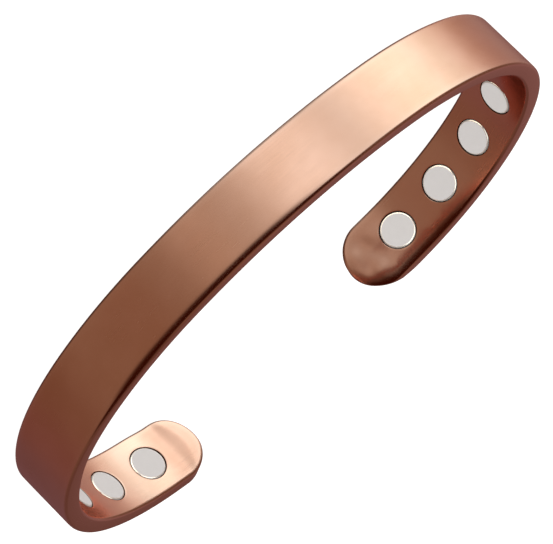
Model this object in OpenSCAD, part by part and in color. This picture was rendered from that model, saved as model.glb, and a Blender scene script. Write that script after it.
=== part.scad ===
// Open cuff bracelet: a flat copper strip with round ends, bent round the wrist,
// with round magnets sunk in the inner face of both arms.
// It lies on its lower long edge: Z runs along the wrist, the back faces -Y and the opening +Y.

/* [Strip] */
// Width of the strip, which is the height of the bracelet as it lies
band_width = 8; // [6:0.5:10]
// Thickness of the strip
band_thickness = 2.2; // [1.9:0.1:3]
// Length of the strip before it is bent
strip_length = 164.5; // [158:0.5:170]
// Straight stretch between the bend and the round end
end_straight = 1.3; // [0.5:0.1:5]
// Rounding along the strip's edges
edge_round = 0.6; // [0.2:0.05:0.8]

/* [Bend] */
// Inside width, from side to side of the wrist
wrist_width = 65; // [61:0.5:70]

/* [Magnets] */
// Number of magnets in each arm
magnets_per_arm = 4; // [1:1:5]
// Diameter of a magnet
magnet_diameter = 4; // [3:0.1:5]
// Thickness of a magnet
magnet_thickness = 1.5; // [1:0.1:1.6]
// Chamfer round a magnet's face
magnet_chamfer = 0.12; // [0.05:0.01:0.3]
// How far a magnet's face stands above the inner face, at the pocket's middle
magnet_proud = 0.1; // [0:0.01:0.2]
// Gap round a magnet in its pocket
magnet_clearance = 0.1; // [0.04:0.01:0.2]
// Layer of glue under a magnet
glue_gap = 0.05; // [0.02:0.01:0.1]
// Distance from the strip's end to the first magnet's centre
first_magnet = 7.3; // [6.5:0.1:9]
// Distance between the centres of neighbouring magnets
magnet_pitch = 7.5; // [6:0.1:8]

/* [Hidden] */
// The bend, from the middle of the back outwards, as rows of arcs.
// Columns: the radius at mid thickness as a share of bend_size, and how many degrees the arc turns.
RADIUS = 0;
TURN = 1;
back_rows = [[0.760, 17.994], [0.435, 27.304], [0.370, 29.956]];
// The shoulders and arms differ, as the strip was bent by hand
left_shoulder_rows = [[0.433, 34.892]];
right_shoulder_rows = [[0.313, 34.892]];
left_arm_angle = 47.464;
right_arm_angle = 59.654;

// Last column of a place on the strip, after its x and y: the strip's heading there
HEADING = 2;

arms = ["left", "right"];
round_end = band_width / 2;
half_strip = strip_length / 2;
bent_length = half_strip - round_end - end_straight;
pocket_depth = magnet_thickness + glue_gap - magnet_proud;

// The strip's heading where a row starts; 0 at the middle of the back
function start_heading(rows, i) = i == 0 ? 0 : start_heading(rows, i - 1) + rows[i - 1][TURN];

// The left and right halves reach the widest place where the strip heads along +Y
left_curve = concat(back_rows, left_shoulder_rows);
right_curve = concat(back_rows, right_shoulder_rows);
function row_reach(rows, i) = rows[i][RADIUS]
    * (sin(min(90, start_heading(rows, i + 1))) - sin(min(90, start_heading(rows, i))));
function reach(rows, i = 0) = i == len(rows) ? 0 : row_reach(rows, i) + reach(rows, i + 1);
bend_size = (wrist_width + band_thickness) / (reach(left_curve) + reach(right_curve));

// Length of the strip's middle in a row, and in all rows before it
function arc_length(radius, turn) = PI * radius * turn / 180;
function row_radius(rows, i) = rows[i][RADIUS] * bend_size;
function row_length(rows, i) = arc_length(row_radius(rows, i), rows[i][TURN]);
function length_before(rows, i) = i == 0 ? 0 : length_before(rows, i - 1) + row_length(rows, i - 1);

// The arm's own arc is the last row, and its radius follows from the length that is left for it
function arm_radius(rows, turn) =
    (bent_length - length_before(rows, len(rows))) / arc_length(1, turn);
function with_arm(rows, turn) = concat(rows, [[arm_radius(rows, turn) / bend_size, turn]]);
left_rows = with_arm(left_curve, left_arm_angle);
right_rows = with_arm(right_curve, right_arm_angle);
function rows_of(arm) = arm == "left" ? left_rows : right_rows;

// Places along the strip, on the left side, from the middle of the back
function along_arc(from, radius, heading) = [
    from.x + radius * (sin(heading) - sin(from[HEADING])),
    from.y + radius * (cos(from[HEADING]) - cos(heading)),
    heading
];
function straight_on(from, length) =
    [from.x + length * cos(from[HEADING]), from.y + length * sin(from[HEADING]), from[HEADING]];
function row_place(rows, i) = i == 0 ? [0, 0, 0]
    : along_arc(row_place(rows, i - 1), row_radius(rows, i - 1), start_heading(rows, i));
function row_at(rows, length, i = 0) =
    i == len(rows) - 1 || length < length_before(rows, i + 1) ? i : row_at(rows, length, i + 1);
function bent_place(rows, length) =
    let (
        i = row_at(rows, length),
        turn = (length - length_before(rows, i)) / arc_length(row_radius(rows, i), 1)
    )
    along_arc(row_place(rows, i), row_radius(rows, i), start_heading(rows, i) + turn);
function place(rows, length) = length < bent_length ? bent_place(rows, length)
    : straight_on(row_place(rows, len(rows)), length - bent_length);
function magnet_place(arm, number) =
    place(rows_of(arm), half_strip - first_magnet - (number - 1) * magnet_pitch);

// How far an arm reaches along +Y: to its round tip, or to where it heads along -X
function tip_reach(end) = end.y + (round_end - edge_round) * sin(end[HEADING])
    + (band_thickness / 2 - edge_round) * abs(cos(end[HEADING])) + edge_round;
function turning_reach(rows, i) =
    along_arc(row_place(rows, i), row_radius(rows, i), 180).y + band_thickness / 2;
function arm_reach(rows) = start_heading(rows, len(rows)) > 180
    ? turning_reach(rows, len(rows) - 1)
    : tip_reach(place(rows, half_strip - round_end));
left_reach = arm_reach(left_rows);
right_reach = arm_reach(right_rows);

// The origin is under the middle of the box round the bracelet
middle_x = (reach(left_curve) - reach(right_curve)) * bend_size / 2;
middle_y = (max(left_reach, right_reach) - band_thickness / 2) / 2;

// Cutting blocks run past what they cut, and an arc is drawn a little long before it is cut
past = 1;
spare_angle = 3;
$fa = 3;
$fs = 0.2;

function magnet_name(arm, number) = str("magnet_", arm, "_", number);

// The strip's section: a rectangle with rounded corners
module section(wide, tall) {
    square([wide - 2 * edge_round, tall], center = true);
    square([wide, tall - 2 * edge_round], center = true);
    for (x = [-1, 1], y = [-1, 1])
        translate([x * (wide / 2 - edge_round), y * (tall / 2 - edge_round)])
            circle(edge_round);
}

// One arc of the strip, in a frame with X along the strip and Y towards the wrist
module bent_strip(radius, turn) {
    translate([0, radius, 0])
        rotate([0, 0, -90])
            rotate_extrude(angle = turn)
                translate([radius, band_width / 2])
                    section(band_thickness, band_width);
}

// The same frame at the arc's other end
module at_arc_end(radius, turn) {
    translate([0, radius, 0])
        rotate([0, 0, turn])
            translate([0, -radius, 0])
                children();
}

// A block that holds all of the strip beyond a frame
module beyond() {
    translate([0, -band_thickness, -past])
        cube([band_width, 2 * band_thickness, band_width + 2 * past]);
}

// The strip from row i on: each arc is cut square where the next one starts
module strip_from(rows, i) {
    radius = row_radius(rows, i);
    turn = rows[i][TURN];
    difference() {
        bent_strip(radius, turn + spare_angle);
        at_arc_end(radius, turn)
            beyond();
    }
    at_arc_end(radius, turn)
        if (i < len(rows) - 1)
            strip_from(rows, i + 1);
        else
            strip_end();
}

// The straight stretch and the round tip
module strip_end() {
    translate([0, 0, band_width / 2])
        rotate([-90, 0, 0]) {
            rotate([90, 0, 90])
                linear_extrude(end_straight)
                    section(band_width, band_thickness);
            translate([end_straight, 0, 0])
                round_tip();
        }
}

module round_tip() {
    rotate([0, 0, -90])
        rotate_extrude(angle = 180)
            intersection() {
                section(band_width, band_thickness);
                translate([0, -band_thickness])
                    square([band_width, 2 * band_thickness]);
            }
}

// Puts a piece at a place on the strip: X along the strip, Z towards the wrist
module on_strip(at) {
    translate([at.x, at.y, band_width / 2])
        rotate([-90, 0, at[HEADING]])
            children();
}

// The right arm is drawn on the left and mirrored
module on_side(arm) {
    mirror([arm == "right" ? 1 : 0, 0, 0])
        children();
}

module centred() {
    translate([-middle_x, -middle_y, 0])
        children();
}

module pocket() {
    translate([0, 0, band_thickness / 2 - pocket_depth])
        cylinder(h = pocket_depth + past, r = magnet_diameter / 2 + magnet_clearance);
}

module band() {
    color([0.72, 0.45, 0.32])
        centred()
            difference() {
                union() {
                    for (arm = arms)
                        on_side(arm)
                            strip_from(rows_of(arm), 0);
                }
                for (arm = arms, number = [1:magnets_per_arm])
                    on_side(arm)
                        on_strip(magnet_place(arm, number))
                            pocket();
            }
}

// A magnet is a disc with a chamfer round the face that touches the wrist
module magnet(arm, number) {
    radius = magnet_diameter / 2;
    color([0.80, 0.78, 0.77])
        centred()
            on_side(arm)
                on_strip(magnet_place(arm, number))
                    translate([0, 0, band_thickness / 2 + magnet_proud - magnet_thickness])
                        rotate_extrude()
                            polygon([
                                [0, 0],
                                [radius, 0],
                                [radius, magnet_thickness - magnet_chamfer],
                                [radius - magnet_chamfer, magnet_thickness],
                                [0, magnet_thickness]
                            ]);
}

band();
for (arm = arms, number = [1:magnets_per_arm])
    magnet(arm, number);
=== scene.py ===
# Copper cuff bracelet with nickel-plated magnets: looks, floor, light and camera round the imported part
import math

import bmesh
import bpy
from mathutils import Matrix, Vector


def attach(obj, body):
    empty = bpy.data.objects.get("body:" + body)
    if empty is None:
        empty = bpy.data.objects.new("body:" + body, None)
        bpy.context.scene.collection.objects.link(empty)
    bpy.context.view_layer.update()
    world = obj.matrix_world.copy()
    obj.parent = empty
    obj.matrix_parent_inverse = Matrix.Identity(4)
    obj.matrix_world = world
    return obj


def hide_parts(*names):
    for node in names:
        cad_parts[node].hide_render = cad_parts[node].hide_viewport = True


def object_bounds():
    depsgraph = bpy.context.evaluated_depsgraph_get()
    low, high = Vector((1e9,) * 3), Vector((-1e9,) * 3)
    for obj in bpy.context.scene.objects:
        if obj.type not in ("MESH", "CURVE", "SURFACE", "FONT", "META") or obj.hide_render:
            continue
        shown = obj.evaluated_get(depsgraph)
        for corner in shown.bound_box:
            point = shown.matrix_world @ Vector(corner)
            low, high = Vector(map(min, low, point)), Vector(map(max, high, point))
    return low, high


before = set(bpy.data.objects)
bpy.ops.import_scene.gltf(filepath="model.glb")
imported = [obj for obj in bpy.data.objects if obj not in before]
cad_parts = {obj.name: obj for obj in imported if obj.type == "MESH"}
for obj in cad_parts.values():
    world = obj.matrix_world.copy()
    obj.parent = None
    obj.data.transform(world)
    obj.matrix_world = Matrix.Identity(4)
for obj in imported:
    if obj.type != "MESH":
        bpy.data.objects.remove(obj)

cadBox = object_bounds()
mm = 0.001
sameLevel = 1e-4   # mm: faces and edges this near a level lie on it
sameSpot = 1e-3    # mm: corners this near each other are one
xAxis, zAxis = Vector((1, 0, 0)), Vector((0, 0, 1))
lying = Matrix.Rotation(math.radians(-90), 4, "X")   # turns a disc's axis towards the wrist
print("frame loaded:", len(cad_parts), "nodes")


def linear(hexColour):
    channels = [int(hexColour[i:i + 2], 16) / 255 for i in (1, 3, 5)]
    return [c / 12.92 if c <= 0.04045 else ((c + 0.055) / 1.055) ** 2.4 for c in channels] + [1.0]


def addNode(tree, kind, sockets=None, **settings):
    # a socket, by name or number, is given a value or another node's output
    node = tree.nodes.new(kind)
    for name, value in settings.items():
        setattr(node, name, value)
    for socket, value in (sockets or {}).items():
        if isinstance(value, bpy.types.NodeSocket):
            tree.links.new(value, node.inputs[socket])
        else:
            node.inputs[socket].default_value = value
    return node


def newMaterial(name):
    material = bpy.data.materials.new(name)
    material.use_nodes = True
    material.node_tree.nodes.clear()
    return material, material.node_tree


def addPiece(mesh, name, material, node):
    bmesh.ops.recalc_face_normals(mesh, faces=mesh.faces[:])
    for face in mesh.faces:
        face.smooth = True
    data = bpy.data.meshes.new(name)
    mesh.to_mesh(data)
    mesh.free()
    piece = bpy.data.objects.new(name, data)
    bpy.context.collection.objects.link(piece)
    data.materials.append(material)
    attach(piece, "root")
    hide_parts(node)
    return piece


# The bend. The strip is made flat and then bent, as the real one was. Lengths in mm.
bend = {
    "wristWidth": 65.0,
    "thickness": 2.2,
    "stripLength": 164.5,
    "stripWidth": 8.0,
    "endStraight": 1.3,
    # radius at mid thickness as a share of the bend's size, and degrees turned
    "backRows": [(0.760, 17.994), (0.435, 27.304), (0.370, 29.956)],
    "shoulder": {"left": (0.433, 34.892), "right": (0.313, 34.892)},
    "armTurn": {"left": 47.464, "right": 59.654},
}
tipCentre = (bend["stripLength"] - bend["stripWidth"]) / 2  # distance from the back's middle


def reachOf(rows):
    # how far a half of the strip reaches to its side, as a share of the bend's size
    reach, heading = 0, 0
    for share, turn in rows:
        before, heading = heading, heading + turn
        start, end = (math.sin(math.radians(min(90, angle))) for angle in (before, heading))
        reach += share * (end - start)
    return reach


halfRows = {side: bend["backRows"] + [bend["shoulder"][side]] for side in ("left", "right")}
sideReach = {side: reachOf(rows) for side, rows in halfRows.items()}
bendSize = (bend["wristWidth"] + bend["thickness"]) / sum(sideReach.values())


def arcsOf(side):
    # each arc: radius, length, and where it starts (x, y, heading)
    arcs, x, y, heading = [], 0, 0, 0
    rows = [(share * bendSize, math.radians(turn)) for share, turn in halfRows[side]]
    bent = tipCentre - bend["endStraight"]
    armTurn = math.radians(bend["armTurn"][side])
    rows.append(((bent - sum(radius * turn for radius, turn in rows)) / armTurn, armTurn))
    for radius, turn in rows:
        arcs.append((radius, radius * turn, x, y, heading))
        x += radius * (math.sin(heading + turn) - math.sin(heading))
        y += radius * (math.cos(heading) - math.cos(heading + turn))
        heading += turn
    return arcs, (x, y, heading)


bentArcs = {side: arcsOf(side) for side in ("left", "right")}


def radiusAt(side, along):
    for radius, length, *start in bentArcs[side][0]:
        if along <= length:
            return radius
        along -= length
    return math.inf


def bentPlace(place):
    # flat: x along the strip from the back's middle, y towards the wrist, z across
    side = "left" if place.x >= 0 else "right"
    sign = 1 if place.x >= 0 else -1
    along, (arcs, (x, y, heading)) = abs(place.x), bentArcs[side]
    for radius, length, startX, startY, startHeading in arcs:
        if along <= length:
            heading = startHeading + along / radius
            x = startX + radius * (math.sin(heading) - math.sin(startHeading))
            y = startY + radius * (math.cos(startHeading) - math.cos(heading))
            along = 0
            break
        along -= length
    x += along * math.cos(heading) - place.y * math.sin(heading)
    y += along * math.sin(heading) + place.y * math.cos(heading)
    return Vector((sign * x, y, place.z))


# Where the bent strip stands in the frame: its box is centred in x, and its back touches the box
toFrame = Vector((
    -(sideReach["left"] - sideReach["right"]) * bendSize / 2,
    cadBox[0][1] / mm + bend["thickness"] / 2,
    bend["stripWidth"] / 2,
))

magnets = {
    "perArm": 4,
    "radius": 2.06,      # a little over the solid's 2.0, so that the bright rim shows
    "thickness": 1.5,
    "edgeRound": 0.20,
    "edgeSteps": 7,
    "turnedFrom": 0.02,  # the turned edge starts this far out on its rounding
    "turnedDown": 0.8,   # and covers this share of its height
    "proud": 0.1,        # of the inner face, at the pocket's middle
    "clearance": 0.07,   # a little under the solid's, so that the dark ring is as thin as it looks
    "glue": 0.05,
    "first": 7.3,        # from the strip's end
    "pitch": 7.5,
    "segments": 96,
}


def magnetAlong(side, number):
    distance = bend["stripLength"] / 2 - magnets["first"] - (number - 1) * magnets["pitch"]
    return distance if side == "left" else -distance


magnetSpots = [(side, number) for side in ("left", "right") for number in range(1, magnets["perArm"] + 1)]

band = {
    "outerRound": 0.34,
    "innerRound": 0.34,
    "roundSteps": 8,
    "tipSteps": 24,      # in a quarter of the round end
    "holdingLine": 0.05,  # beside the flats, so that they stay flat to the light
    "alongStep": 0.36,
    "seatHalf": 3.0,     # half the square that a pocket's rim is let into
    "seatSteps": 11,
    "edgeSteps": 3,      # between the rounding and that square
    "seatRing": 2.4,
    "ringSlack": 0.01,   # as the filing moves the ring a little
    "rimRound": 0.06,
    "rimSteps": 3,
    "rimShadeShare": 0.3,     # share of the rim's rounding that is painted dark like the pocket, as painted shade of the gap
    "pocketRadius": magnets["radius"] + magnets["clearance"],
    "wornEdge": 0.9,     # how wide the edges are worn bright
}
# the right tip is ground thinner from outside: how wide, by what share at the edge, where it starts
# and is full from the tip's centre, and the angle of its middle and its reach, from the strip's
# direction towards the upper edge
groundTip = {"width": 2.6, "share": 0.75, "from": (-2, 1), "middle": 46, "reach": 78}
# polishing has worn the faces down by their edges: which face and edge, where along the strip it
# starts, is full, is still full and ends, how wide, and how far at the edge
edgeBlend = 1.5          # either side of the strip's middle, where wear by one edge fades out
wornEdges = [
    ("outer", "both", (-90, -85, 85, 90), 1.2, 0.03),
    ("outer", "upper", (-9, 7, 22, 33), 1.25, 0.33),
    ("outer", "lower", (-34, -24, -8, 6), 0.9, 0.12),
    ("inner", "both", (-90, -85, 85, 90), 2.4, 0.04),
    ("inner", "both", (-44, -36, 36, 44), 1.7, 0.35),
    ("inner", "upper", (-85, -76, -71, -61), 2.3, 0.34),
    ("inner", "upper", (-90, -88, -81, -78), 1.4, 0.20),
]
# marks of the bending tool in the inner face, by the tips: side, from the tip's centre towards the
# end, across, radius and depth
tipDents = [
    ("right", 2.0, 0.8, 0.9, 0.050), ("right", 0.9, -1.9, 1.1, 0.075), ("right", 1.4, 1.9, 0.8, -0.065),
    ("right", -0.7, 1.2, 1.0, 0.080), ("right", 2.6, -1.4, 0.8, -0.040), ("right", -1.2, -1.2, 1.0, -0.070),
    ("right", 0.3, 0.1, 0.7, 0.045), ("right", 2.0, 2.3, 0.7, 0.035),
]
# where the outline of a tip was filed unevenly: side, from the tip's centre towards the end, across,
# radius, and how far it moved towards the end and across
filedSpots = [
    ("left", -0.2, -4.0, 2.0, 0.0, 0.22), ("left", 3.6, 1.6, 1.6, -0.10, 0.0),
    ("right", 2.6, 3.0, 2.0, -0.10, -0.10),
]
tipReach = 5             # dents and filing reach this far back from the tip's centre
# the left tip was hammered to a shallow dish with a flat rim
leftTipDish = {
    "depth": 0.06,
    "sinks": (-1.1, 0.5),    # where it starts to sink and is sunk, from the tip's centre
    "height": 0.10,          # of the rim over the dish's bottom
    "slope": (-0.1, 2.1),    # how far out the slope to the rim starts and ends
    "slopeCurve": 1.5,
    "slopeOver": 1.6,        # the slope is full this far beyond the tip's centre
    "centreBack": 4.0,       # its rounds are centred this far behind the tip's centre
}
# both tips are handled most, and duller, and the left tip's dish is painted darker still, as painted shade
# of the hollow. The numbers in pairs say where each starts and is full.
dullAndShadedTips = {
    "right": 0.38,
    "rightFrom": (-4.5, -1.0),
    "left": 0.46,
    "leftFrom": (-2.6, -0.4),
    "dish": 0.14,            # this much darker in the dish: painted shade of the hollow
    "dishFrom": (-0.4, 1.4),
    "dishBeyond": (0, 0.8),
    "dishMiddle": -14,       # degrees round the tip's centre
    "dishReach": (100, 60),
    "rim": -0.10,            # and painted lighter on its flat rim
    "rimFrom": (-0.1, 0.3),  # from the end of the slope
}


def flatFace(mesh, level):
    faces = [face for face in mesh.faces if abs(face.calc_center_median().y - level) < sameLevel]
    return max(faces, key=lambda face: face.calc_area())


def makeFlatStrip():
    mesh = bmesh.new()
    length, thickness, width = bend["stripLength"], bend["thickness"], bend["stripWidth"]
    bmesh.ops.create_cube(mesh, size=1)
    bmesh.ops.scale(mesh, vec=(length, thickness, width), verts=mesh.verts[:])
    corners = [edge for edge in mesh.edges if abs(edge.verts[0].co.y - edge.verts[1].co.y) > thickness / 2]
    bmesh.ops.bevel(mesh, geom=corners, offset=width / 2 - sameLevel, offset_type="OFFSET",
                    affect="EDGES", segments=band["tipSteps"], profile=0.5, material=-1)
    bmesh.ops.remove_doubles(mesh, verts=mesh.verts[:], dist=sameSpot)
    for level, rounding in ((-thickness / 2, band["outerRound"]), (thickness / 2, band["innerRound"])):
        rim = [edge for edge in mesh.edges
               if all(abs(vert.co.y - level) < sameLevel for vert in edge.verts)]
        bmesh.ops.bevel(mesh, geom=rim, offset=rounding, offset_type="OFFSET", affect="EDGES",
                        segments=band["roundSteps"], profile=0.5, material=-1)
    return mesh


def divideStrip(mesh):
    # rings that follow the outline inwards, a line down the middle, and cuts all along
    half, seat, steps = bend["stripWidth"] / 2, band["seatHalf"], band["edgeSteps"]
    for level, rounding in ((-1, band["outerRound"]), (1, band["innerRound"])):
        face = flatFace(mesh, level * bend["thickness"] / 2)
        first = rounding + band["holdingLine"]
        rings = [first + (half - seat - first) * i / steps for i in range(steps + 1)]
        rings += [half - seat + seat * i / band["seatSteps"] for i in range(1, band["seatSteps"])]
        reached = rounding
        for ring in rings:
            bmesh.ops.inset_region(mesh, faces=[face], thickness=ring - reached, depth=0,
                                   use_even_offset=True, use_boundary=True)
            reached = ring
    for along, direction in ((0, zAxis), (tipCentre, xAxis), (-tipCentre, xAxis)):
        flats = [face for face in mesh.faces if len(face.verts) > 4]
        geometry = flats + list(dict.fromkeys(edge for face in flats for edge in face.edges))
        geometry += list(dict.fromkeys(vert for face in flats for vert in face.verts))
        bmesh.ops.bisect_plane(mesh, geom=geometry, plane_co=(along, 0, 0), plane_no=direction,
                               dist=sameLevel)
    longEdges = [edge for edge in mesh.edges if edge.calc_length() > tipCentre]
    for vert in {vert for edge in longEdges for vert in edge.verts}:
        vert.co.x = math.copysign(tipCentre, vert.co.x)
    bmesh.ops.subdivide_edges(mesh, edges=longEdges, cuts=round(2 * tipCentre / band["alongStep"]) - 1,
                              use_grid_fill=True)


def sinkPocket(mesh, along):
    level = bend["thickness"] / 2
    reach = band["seatHalf"]
    seat = []
    for face in mesh.faces:
        middle = face.calc_center_median()
        if middle.y > level - sameSpot and abs(middle.x - along) < reach and abs(middle.z) < reach:
            seat.append(face)
    bmesh.ops.delete(mesh, geom=seat, context="FACES")
    border = [edge for edge in mesh.edges if edge.is_boundary]
    ring = bmesh.ops.create_circle(mesh, cap_ends=False, segments=len(border), radius=band["seatRing"],
                                   matrix=Matrix.Translation((along, level, 0)) @ lying)["verts"]
    loop = list(dict.fromkeys(edge for vert in ring for edge in vert.link_edges))
    bmesh.ops.bridge_loops(mesh, edges=border + loop)
    radius = band["pocketRadius"]
    depth = magnets["thickness"] + magnets["glue"] - magnets["proud"]
    atMiddle = Matrix.Translation((-along, -level, 0))
    rimLoops = []
    for scale, drop in ((radius / band["seatRing"], 0), (1, depth)):
        made = bmesh.ops.extrude_edge_only(mesh, edges=loop)["geom"]
        verts = [item for item in made if isinstance(item, bmesh.types.BMVert)]
        loop = [item for item in made if isinstance(item, bmesh.types.BMEdge)
                and all(vert in verts for vert in item.verts)]
        bmesh.ops.scale(mesh, vec=(scale, 1, scale), space=atMiddle, verts=verts)
        bmesh.ops.translate(mesh, vec=(0, -drop, 0), verts=verts)
        rimLoops.append(loop)
    bmesh.ops.contextual_create(mesh, geom=rimLoops[1])
    bmesh.ops.bevel(mesh, geom=rimLoops[0], offset=band["rimRound"], offset_type="OFFSET",
                    affect="EDGES", segments=band["rimSteps"], profile=0.5, material=-1)


def smoothStep(start, full, value):
    # 0 at the start, 1 where it is full
    share = min(1, max(0, (value - start) / (full - start)))
    return share * share * (3 - 2 * share)


def dishAway(place):
    # how far out in the dish, in rounds that are flatter than the tip's
    back = leftTipDish["centreBack"]
    return math.hypot(max(0, place.x - tipCentre) + back, place.z) - back


def wornPlace(place):
    # a spot of the flat strip after polishing, grinding, hammering and filing
    level = bend["thickness"] / 2
    beyond = abs(place.x) - tipCentre
    out = Vector((math.copysign(max(0, beyond), place.x), 0, place.z))
    inside = bend["stripWidth"] / 2 - out.length
    worn = place.copy()
    for face, edge, (start, full, last, end), width, drop in wornEdges:
        if (face == "outer") == (place.y < 0) and inside < width:
            share = smoothStep(start, full, place.x) * smoothStep(end, last, place.x)
            if edge != "both":
                share *= smoothStep(-edgeBlend, edgeBlend, place.z if edge == "upper" else -place.z)
            worn.y -= share * drop * (1 - inside / width) ** 3 * place.y / level
    if place.x < 0:
        angle = math.degrees(math.atan2(place.z, max(0, beyond))) - groundTip["middle"]
        share = groundTip["share"] * smoothStep(groundTip["reach"], 0, abs(angle))
        share *= smoothStep(*groundTip["from"], beyond)
        worn.y += (level - place.y) * share * max(0, 1 - inside / groundTip["width"]) ** 2
    if place.y > 0 and place.x > 0:
        start, end = leftTipDish["slope"]
        share = min(1, max(0, (dishAway(place) - start) / (end - start))) ** leftTipDish["slopeCurve"]
        rise = leftTipDish["height"] * share * smoothStep(0, leftTipDish["slopeOver"], beyond)
        rise -= leftTipDish["depth"] * smoothStep(*leftTipDish["sinks"], beyond)
        worn.y += rise * place.y / level
    if place.y > 0 and place.x < 0 and beyond > -tipReach:
        for side, along, across, radius, depth in tipDents:
            away = math.hypot(beyond - along, place.z - across) / radius
            worn.y -= depth * math.exp(-away * away) * place.y / level
    for side, along, across, radius, moveAlong, moveAcross in filedSpots:
        if (side == "left") == (place.x > 0) and beyond > -tipReach:
            away = math.hypot(beyond - along, place.z - across) / radius
            share = math.exp(-away * away)
            worn.x += math.copysign(moveAlong * share, place.x)
            worn.z += moveAcross * share
    return worn


def dullnessAndShade(place):
    side = "left" if place.x > 0 else "right"
    beyond = abs(place.x) - tipCentre
    dullAndShade = dullAndShadedTips[side]
    if side == "left" and beyond > 0:
        turn = math.degrees(math.atan2(place.z, beyond)) - dullAndShadedTips["dishMiddle"]
        window = smoothStep(*dullAndShadedTips["dishReach"], abs(turn)) * smoothStep(*dullAndShadedTips["dishBeyond"], beyond)
        # the dish is painted darker as painted shade of the hollow, and the flat rim painted lighter
        dishShade = dullAndShadedTips["dish"] * smoothStep(*dullAndShadedTips["dishFrom"], dishAway(place))
        onRim = smoothStep(*dullAndShadedTips["rimFrom"], dishAway(place) - leftTipDish["slope"][1])
        dullAndShade += window * (dishShade + (dullAndShadedTips["rim"] - dishShade) * onRim)
    return dullAndShade * smoothStep(*dullAndShadedTips[side + "From"], beyond)


def bendStrip(mesh):
    # the materials keep their places on the flat strip, and a pocket its round shape, which the bend
    # would squeeze at the inner face
    flatPlace = mesh.verts.layers.float_vector.new("flatPlace")
    recess = mesh.verts.layers.float.new("recess")
    edgeWear = mesh.verts.layers.float.new("edgeWear")
    wristSide = mesh.verts.layers.float.new("wristSide")
    dullAndShade = mesh.verts.layers.float.new("dullAndShade")
    mouth = band["pocketRadius"] + band["rimShadeShare"] * band["rimRound"]
    ring = band["seatRing"] + band["ringSlack"]
    middles = [(magnetAlong(side, number), side) for side, number in magnetSpots]
    underPockets = -bend["thickness"] / 4   # between the pockets' bottoms and the outer face
    for vert in mesh.verts:
        vert[flatPlace] = vert.co
        inside = bend["stripWidth"] / 2 - math.hypot(max(0, abs(vert.co.x) - tipCentre), vert.co.z)
        vert[edgeWear] = max(0, 1 - inside / band["wornEdge"])
        vert[wristSide] = smoothStep(0, 1, vert.co.y)
        vert[dullAndShade] = dullnessAndShade(vert.co) * vert[wristSide]
        place = wornPlace(vert.co)
        for middle, side in middles:
            away = Vector((place.x - middle, place.z)).length
            # the pocket and part of its rim are painted dark: painted shade of the gap round the magnet
            if place.y > underPockets and away < mouth:
                vert[recess] = 1
            if place.y > underPockets and away < ring:
                radius = radiusAt(side, abs(middle))
                if radius < math.inf:
                    turn = math.asin((place.x - middle) / (radius - place.y))
                    place.x = middle + radius * turn
        vert.co = (bentPlace(place) + toFrame) * mm


def makeBand(material):
    mesh = makeFlatStrip()
    divideStrip(mesh)
    for side, number in magnetSpots:
        sinkPocket(mesh, magnetAlong(side, number))
    bendStrip(mesh)
    piece = addPiece(mesh, "cuffBand", material, "band")
    print("band made:", len(piece.data.polygons), "faces")


def makeMagnet(material, side, number):
    mesh = bmesh.new()
    top = bend["thickness"] / 2 + magnets["proud"]
    place = Matrix.Translation((0, top - magnets["thickness"] / 2, 0)) @ lying
    bmesh.ops.create_cone(mesh, cap_ends=True, cap_tris=False, segments=magnets["segments"],
                          radius1=magnets["radius"], radius2=magnets["radius"],
                          depth=magnets["thickness"], matrix=place)
    rim = [edge for edge in mesh.edges if all(vert.co.y > top - sameLevel for vert in edge.verts)]
    bmesh.ops.bevel(mesh, geom=rim, offset=magnets["edgeRound"], offset_type="OFFSET", affect="EDGES",
                    segments=magnets["edgeSteps"], profile=0.5, material=-1)
    faceOfMagnet = [face for face in mesh.faces if face.normal.y > 0 and len(face.verts) > 4]
    bmesh.ops.inset_region(mesh, faces=faceOfMagnet, thickness=band["holdingLine"], depth=0,
                           use_even_offset=True)
    along = magnetAlong(side, number)
    middle = bentPlace(Vector((along, 0, 0)))
    ahead = bentPlace(Vector((along + sameSpot, 0, 0))) - middle
    turn = math.atan2(ahead.y, ahead.x)
    flatPlace = mesh.verts.layers.float_vector.new("flatPlace")
    turned = mesh.verts.layers.float.new("turnedEdge")
    for vert in mesh.verts:
        vert[flatPlace] = vert.co
        out = Vector((vert.co.x, vert.co.z)).length - (magnets["radius"] - magnets["edgeRound"])
        down = (top - vert.co.y) / magnets["edgeRound"]
        vert[turned] = 1 if out > magnets["turnedFrom"] and down < magnets["turnedDown"] else 0
    where = Matrix.Translation((middle + toFrame) * mm) @ Matrix.Rotation(turn, 4, "Z")
    bmesh.ops.transform(mesh, matrix=where @ Matrix.Scale(mm, 4), verts=mesh.verts[:])
    name = "magnet" + side.capitalize() + str(number)
    return addPiece(mesh, name, material, f"magnet_{side}_{number}")


# Patterns in mm, colours as the eye sees them in white light
copperLook = {
    "wristSide": ("#ffd9c2", "#fbd1b7"),   # clean and tarnished; skin and cloth keep it clean
    "outside": ("#f9ceb4", "#f2c4a7"),
    "dullAndShade": "#c29076",
    "wornEdge": "#fbd5bd",
    "recess": "#4a2a1c",          # dark glue, and painted shade in the pockets and the gap round each magnet
    "grain": (0.25, 8.0, 8.0),    # per mm along, through and across the strip
    "grainSpan": (0.3, 0.7),      # of the noise, from smooth to rough
    "cloudsPerMm": 0.16,
    "cloudSpan": (0.35, 0.65),
    "grainRoughness": (0.20, 0.26),
    "tarnishRoughness": 0.02,
    "recessRoughness": 0.6,
    "grainDepth": 0.0006,
}
nickelLook = {
    "face": ("#cecbc9", "#c9c6c4"),
    "turnedEdge": "#f0ebe2",
    "specklePerMm": 5.0,
    "speckleSpan": (0.3, 0.7),
    "cloudsPerMm": 0.8,
    "faceRoughness": (0.48, 0.58),
    "edgeRoughness": 0.2,
    "edgeMetallic": 0.6,          # the matt face scatters its light, and is drawn without any
    "specular": 0.2,
    "speckleDepth": 0.002,
}


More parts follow.
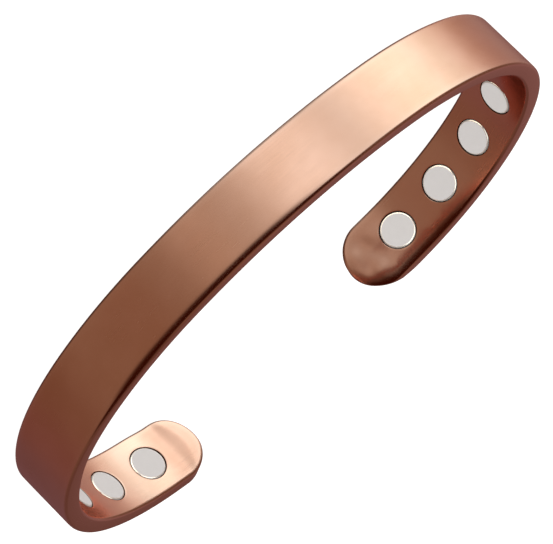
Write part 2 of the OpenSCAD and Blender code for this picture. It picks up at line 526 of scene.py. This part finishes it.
def makeCopper():
    # Satin-polished copper: buffed along the strip, so that the sheen is soft and the grain runs
    # lengthwise, with a thin cloudy tarnish that wear keeps off the edges. The grain is drawn about
    # three times coarser than the real 0.04 mm, or it wouldn't show. The pockets are painted dark,
    # as painted shade with dark glue, and the left tip's dish darker, as painted shade.
    material, tree = newMaterial("satinPolishedCopper")
    look = copperLook
    place = addNode(tree, "ShaderNodeAttribute", attribute_name="flatPlace").outputs["Vector"]
    recess = addNode(tree, "ShaderNodeAttribute", attribute_name="recess").outputs["Fac"]
    edge = addNode(tree, "ShaderNodeAttribute", attribute_name="edgeWear").outputs["Fac"]
    stretched = addNode(tree, "ShaderNodeMapping", {"Vector": place, "Scale": look["grain"]}).outputs[0]
    grain = addNode(tree, "ShaderNodeTexNoise", {
        "Vector": stretched, "Scale": 1.0, "Detail": 3.0, "Roughness": 0.6}).outputs["Fac"]
    clouds = addNode(tree, "ShaderNodeTexNoise", {
        "Vector": place, "Scale": look["cloudsPerMm"], "Detail": 3.0, "Roughness": 0.5}).outputs["Fac"]
    low, high = look["cloudSpan"]
    tarnish = addNode(tree, "ShaderNodeMapRange", {
        "Value": clouds, "From Min": low, "From Max": high}).outputs[0]
    wrist = addNode(tree, "ShaderNodeAttribute", attribute_name="wristSide").outputs["Fac"]
    clean, tarnished = (addNode(tree, "ShaderNodeMix", {
        "Factor": wrist, 6: linear(outer), 7: linear(inner)}, data_type="RGBA").outputs[2]
        for outer, inner in zip(look["outside"], look["wristSide"]))
    colour = addNode(tree, "ShaderNodeMix", {
        "Factor": tarnish, 6: clean, 7: tarnished}, data_type="RGBA").outputs[2]
    # duller tips, and painted shade in the left tip's dish
    dullAndShade = addNode(tree, "ShaderNodeAttribute", attribute_name="dullAndShade").outputs["Fac"]
    colour = addNode(tree, "ShaderNodeMix", {
        "Factor": dullAndShade, 6: colour, 7: linear(look["dullAndShade"])}, data_type="RGBA").outputs[2]
    colour = addNode(tree, "ShaderNodeMix", {
        "Factor": edge, 6: colour, 7: linear(look["wornEdge"])}, data_type="RGBA").outputs[2]
    # the pockets painted dark: painted shade, with dark glue
    colour = addNode(tree, "ShaderNodeMix", {
        "Factor": recess, 6: colour, 7: linear(look["recess"])}, data_type="RGBA").outputs[2]
    (low, high), (smooth, rough) = look["grainSpan"], look["grainRoughness"]
    sheen = addNode(tree, "ShaderNodeMapRange", {
        "Value": grain, "From Min": low, "From Max": high, "To Min": smooth, "To Max": rough}).outputs[0]
    sheen = addNode(tree, "ShaderNodeMath", {
        0: tarnish, 1: look["tarnishRoughness"], 2: sheen}, operation="MULTIPLY_ADD").outputs[0]
    sheen = addNode(tree, "ShaderNodeMix", {
        "Factor": recess, "A": sheen, "B": look["recessRoughness"]}, data_type="FLOAT").outputs[0]
    bump = addNode(tree, "ShaderNodeBump", {
        "Height": grain, "Strength": 1.0, "Distance": look["grainDepth"] * mm}).outputs[0]
    shader = addNode(tree, "ShaderNodeBsdfPrincipled", {
        "Base Color": colour, "Metallic": 1.0, "Roughness": sheen, "Normal": bump}).outputs[0]
    addNode(tree, "ShaderNodeOutputMaterial", {"Surface": shader})
    return material


def makeNickel():
    # Tumbled nickel plate: the face is pale grey and matt with fine speckle, and its turned edge
    # is polished by wear
    material, tree = newMaterial("tumbledNickelPlate")
    look = nickelLook
    place = addNode(tree, "ShaderNodeAttribute", attribute_name="flatPlace").outputs["Vector"]
    turned = addNode(tree, "ShaderNodeAttribute", attribute_name="turnedEdge").outputs["Fac"]
    speckle = addNode(tree, "ShaderNodeTexNoise", {
        "Vector": place, "Scale": look["specklePerMm"], "Detail": 2.0}).outputs["Fac"]
    clouds = addNode(tree, "ShaderNodeTexNoise", {
        "Vector": place, "Scale": look["cloudsPerMm"]}).outputs["Fac"]
    pale, grey = (linear(colour) for colour in look["face"])
    colour = addNode(tree, "ShaderNodeMix", {
        "Factor": clouds, 6: pale, 7: grey}, data_type="RGBA").outputs[2]
    colour = addNode(tree, "ShaderNodeMix", {
        "Factor": turned, 6: colour, 7: linear(look["turnedEdge"])}, data_type="RGBA").outputs[2]
    metal = addNode(tree, "ShaderNodeMath", {
        0: turned, 1: look["edgeMetallic"]}, operation="MULTIPLY").outputs[0]
    (low, high), (smooth, rough) = look["speckleSpan"], look["faceRoughness"]
    matt = addNode(tree, "ShaderNodeMapRange", {
        "Value": speckle, "From Min": low, "From Max": high, "To Min": smooth, "To Max": rough}).outputs[0]
    matt = addNode(tree, "ShaderNodeMix", {
        "Factor": turned, "A": matt, "B": look["edgeRoughness"]}, data_type="FLOAT").outputs[0]
    bump = addNode(tree, "ShaderNodeBump", {
        "Height": speckle, "Strength": 1.0, "Distance": look["speckleDepth"] * mm}).outputs[0]
    shader = addNode(tree, "ShaderNodeBsdfPrincipled", {
        "Base Color": colour, "Metallic": metal, "Roughness": matt,
        "Specular IOR Level": look["specular"], "Normal": bump}).outputs[0]
    addNode(tree, "ShaderNodeOutputMaterial", {"Surface": shader})
    return material


copper = makeCopper()
nickel = makeNickel()
makeBand(copper)
magnetPieces = [makeMagnet(nickel, side, number) for side, number in magnetSpots]
for piece in magnetPieces:
    piece.visible_glossy = False   # the copper is too soft a mirror to show them
print("magnets made:", len(magnetPieces))

# The studio. The metal mirrors soft panels that stand round it, seen over a floor that it doesn't
# mirror. Floor and plating are lit by a plain white room instead.
studio = {
    "floorSize": 12.0,
    "floorColour": "#898785",
    "floorRoughness": 0.9,
    "floorSpecular": 0.2,
    "floorGlow": ("#fffdfb", 0.98),
    "roomColour": "#ffffff",
    "roomStrength": 1.15,
    "brightest": 1.5,                    # the most that a wall can show
    # what the walls and the ceiling show all round: azimuth, colour and brightness
    "walls": [
        (-180, "#6e4c50", 1.0), (-152, "#745456", 1.0), (-145, "#8f6d6c", 1.0),  # dim room
        (-133, "#a08480", 1.0), (-118, "#a88883", 1.0), (-105, "#b9998f", 1.0),  # side card
        (-93, "#f0e2dd", 1.0), (-80, "#f3feff", 1.21), (-66, "#fffcf9", 1.48),   # key panel
        (-53, "#fdffff", 1.46), (-44, "#fdfffe", 1.08), (-36, "#d8d5d5", 1.0),
        (-25, "#fefdff", 1.08), (-15, "#fffcfd", 1.05), (-6, "#c9bcb5", 1.0),    # second panel
        (1, "#aa988e", 1.0), (9, "#c2ab9f", 1.0), (20, "#896d5e", 1.0),          # its falling light
        (34, "#8a6a5b", 1.0), (66, "#87695a", 1.0), (92, "#795749", 1.0),        # warm card
        (125, "#77504c", 1.0), (150, "#6d4d50", 1.0), (180, "#6e4c50", 1.0),
    ],
    "ceiling": [
        (-180, "#62413b", 1.0), (-150, "#886363", 1.0), (-115, "#6b4c40", 1.0),
        (115, "#6b4c40", 1.0), (150, "#62413b", 1.0), (180, "#62413b", 1.0),
    ],
    "ceilingFrom": (-10, 16),            # elevations between which the walls fade into the ceiling
    "lowLight": (-15, -24, 1.04),        # the walls are lighter near the floor: from, to and by how much
    "wallFoot": (-24, -52, 0.36),        # and dark below
    "darkHatch": ("#300b02", 33, 45),    # a dark opening: colour, azimuth and elevation
    "hatchSize": (60, 44),               # degrees from its middle where it starts and is full
    "overhead": ("#7d5a4c", 64, 88),     # a soft lamp straight above: colour, where it starts and is full
    "insideTint": (0.95, 0.51, 0.45, 1),  # of light that comes by way of the strip's own inside,
    "insideAfter": 1.5,                  # so that it was mirrored more often than this
}


def shadeOf(colour, brightness=1.0):
    return [channel * brightness / studio["brightest"] for channel in linear(colour)[:3]] + [1]


def directionOf(azimuth, elevation):
    # azimuth 0 is straight out from the back, and 90 from the left arm
    a, e = math.radians(azimuth), math.radians(elevation)
    return Vector((math.sin(a) * math.cos(e), -math.cos(a) * math.cos(e), math.sin(e)))


def makeFloor():
    # a sheet of white acrylic, lit from below
    material, tree = newMaterial("paleAcrylicSheet")
    glowColour, glow = studio["floorGlow"]
    shader = addNode(tree, "ShaderNodeBsdfPrincipled", {
        "Base Color": linear(studio["floorColour"]), "Roughness": studio["floorRoughness"],
        "Specular IOR Level": studio["floorSpecular"],
        "Emission Color": linear(glowColour), "Emission Strength": glow}).outputs[0]
    addNode(tree, "ShaderNodeOutputMaterial", {"Surface": shader})
    mesh = bmesh.new()
    bmesh.ops.create_grid(mesh, x_segments=1, y_segments=1, size=studio["floorSize"] / 2)
    data = bpy.data.meshes.new("studioFloor")
    mesh.to_mesh(data)
    mesh.free()
    floor = bpy.data.objects.new("studioFloor", data)
    bpy.context.collection.objects.link(floor)
    data.materials.append(material)
    floor.visible_glossy = False
    floor.visible_shadow = False


def makeRoom():
    world = bpy.data.worlds.new("studioRoom")
    bpy.context.scene.world = world
    world.use_nodes = True
    world.cycles.sampling_method = "NONE"
    tree = world.node_tree
    tree.nodes.clear()
    direction = addNode(tree, "ShaderNodeTexCoord").outputs["Generated"]
    part = addNode(tree, "ShaderNodeSeparateXYZ", {"Vector": direction}).outputs
    front = addNode(tree, "ShaderNodeMath", {0: part["Y"], 1: -1.0}, operation="MULTIPLY").outputs[0]
    azimuth = addNode(tree, "ShaderNodeMath", {0: part["X"], 1: front}, operation="ARCTAN2").outputs[0]
    azimuth = addNode(tree, "ShaderNodeMapRange", {
        "Value": azimuth, "From Min": -math.pi, "From Max": math.pi}).outputs[0]
    elevation = addNode(tree, "ShaderNodeMath", {0: part["Z"]}, operation="ARCSINE").outputs[0]
    elevation = addNode(tree, "ShaderNodeMath", {0: elevation}, operation="DEGREES").outputs[0]
    around = []
    for rows in (studio["walls"], studio["ceiling"]):
        ramp = addNode(tree, "ShaderNodeValToRGB", {"Fac": azimuth})
        ramp.color_ramp.interpolation = "EASE"
        stops = ramp.color_ramp.elements
        for row in rows[2:]:
            stops.new(0.5)
        for stop, (place, colour, brightness) in zip(stops, rows):
            stop.position = (place + 180) / 360
            stop.color = shadeOf(colour, brightness)
        around.append(ramp.outputs["Color"])
    walls, ceiling = around
    for start, full, share in (studio["lowLight"], studio["wallFoot"]):
        below = addNode(tree, "ShaderNodeMapRange", {
            "Value": elevation, "From Min": start, "From Max": full, "To Min": 1.0, "To Max": share},
            interpolation_type="SMOOTHSTEP").outputs[0]
        walls = addNode(tree, "ShaderNodeVectorMath", {
            0: walls, "Scale": below}, operation="SCALE").outputs[0]
    hatchColour, *hatchPlace = studio["darkHatch"]
    towards = addNode(tree, "ShaderNodeVectorMath", {
        0: direction, 1: directionOf(*hatchPlace)}, operation="DOT_PRODUCT").outputs["Value"]
    away = addNode(tree, "ShaderNodeMath", {0: towards}, operation="ARCCOSINE").outputs[0]
    hatchStart, hatchFull = studio["hatchSize"]
    hatch = addNode(tree, "ShaderNodeMapRange", {
        "Value": away, "From Min": math.radians(hatchStart), "From Max": math.radians(hatchFull)},
        interpolation_type="SMOOTHSTEP").outputs[0]
    overheadColour, start, full = studio["overhead"]
    overhead = addNode(tree, "ShaderNodeMapRange", {
        "Value": elevation, "From Min": start, "From Max": full},
        interpolation_type="SMOOTHSTEP").outputs[0]
    for share, colour in ((hatch, hatchColour), (overhead, overheadColour)):
        ceiling = addNode(tree, "ShaderNodeMix", {
            "Factor": share, 6: ceiling, 7: shadeOf(colour)}, data_type="RGBA").outputs[2]
    bottom, top = studio["ceilingFrom"]
    rise = addNode(tree, "ShaderNodeMapRange", {
        "Value": elevation, "From Min": bottom, "From Max": top},
        interpolation_type="SMOOTHSTEP").outputs[0]
    colour = addNode(tree, "ShaderNodeMix", {
        "Factor": rise, 6: walls, 7: ceiling}, data_type="RGBA").outputs[2]
    ray = addNode(tree, "ShaderNodeLightPath").outputs
    inside = addNode(tree, "ShaderNodeMath", {
        0: ray["Glossy Depth"], 1: studio["insideAfter"]}, operation="GREATER_THAN").outputs[0]
    colour = addNode(tree, "ShaderNodeMix", {
        "Factor": inside, 6: colour, 7: studio["insideTint"]},
        data_type="RGBA", blend_type="MULTIPLY").outputs[2]
    mirrored = addNode(tree, "ShaderNodeBackground", {
        "Color": colour, "Strength": studio["brightest"]}).outputs[0]
    pale = addNode(tree, "ShaderNodeBackground", {
        "Color": linear(studio["roomColour"]), "Strength": studio["roomStrength"]}).outputs[0]
    mixed = addNode(tree, "ShaderNodeMixShader", {
        "Fac": ray["Is Glossy Ray"], 1: pale, 2: mirrored}).outputs[0]
    addNode(tree, "ShaderNodeOutputWorld", {"Surface": mixed})


# small lights that only the magnets' turned edges catch: azimuth, elevation and radius in degrees,
# brightness, colour
edgeLights = {
    "edgeLightHigh": (-6, 36, 36, 2.0, "#fffdf6"),
    "edgeLightLow": (0, -42, 36, 2.4, "#fff1d8"),
}
lightDistance = 0.6   # m


def makeEdgeLight(name, azimuth, elevation, radius, brightness, colour, receivers):
    light = bpy.data.lights.new(name, "AREA")
    light.shape = "DISK"
    light.size = 2 * lightDistance * math.tan(math.radians(radius))
    light.energy = brightness * math.pi ** 2 * (light.size / 2) ** 2
    light.color = linear(colour)[:3]
    lamp = bpy.data.objects.new(name, light)
    bpy.context.collection.objects.link(lamp)
    towards = directionOf(azimuth, elevation)
    lamp.location = towards * lightDistance
    lamp.rotation_euler = towards.to_track_quat("Z", "Y").to_euler()
    lamp.visible_camera = False
    lamp.visible_diffuse = False
    lamp.light_linking.receiver_collection = receivers


makeFloor()
makeRoom()
receivers = bpy.data.collections.new("magnetsOnly")
for piece in magnetPieces:
    receivers.objects.link(piece)
for name, row in edgeLights.items():
    makeEdgeLight(name, *row, receivers)

# The camera, in mm and degrees: the picture is turned so that the wrist's axis points down to the right
camera = {
    "azimuth": 12.997,
    "elevation": 15.36,
    "roll": 134.79,
    "distance": 436.8,
    "target": (0.791, -1.547, 4.135),
    "lens": 268.52,
    "sensor": 36.0,
    "clip": (0.01, 50),     # in m
}


def makeCamera():
    data = bpy.data.cameras.new("photoCamera")
    data.lens, data.sensor_width = camera["lens"], camera["sensor"]
    data.clip_start, data.clip_end = camera["clip"]
    looker = bpy.data.objects.new("photoCamera", data)
    bpy.context.collection.objects.link(looker)
    back = directionOf(camera["azimuth"], camera["elevation"])
    looker.matrix_world = (
        Matrix.Translation((Vector(camera["target"]) + back * camera["distance"]) * mm)
        @ Matrix.Rotation(math.radians(camera["azimuth"]), 4, "Z")
        @ Matrix.Rotation(math.radians(90 - camera["elevation"]), 4, "X")
        @ Matrix.Rotation(math.radians(camera["roll"]), 4, "Z"))
    bpy.context.scene.camera = looker


makeCamera()
view = bpy.context.scene.view_settings
view.view_transform = "Standard"
view.look = "None"
print("studio and camera made")
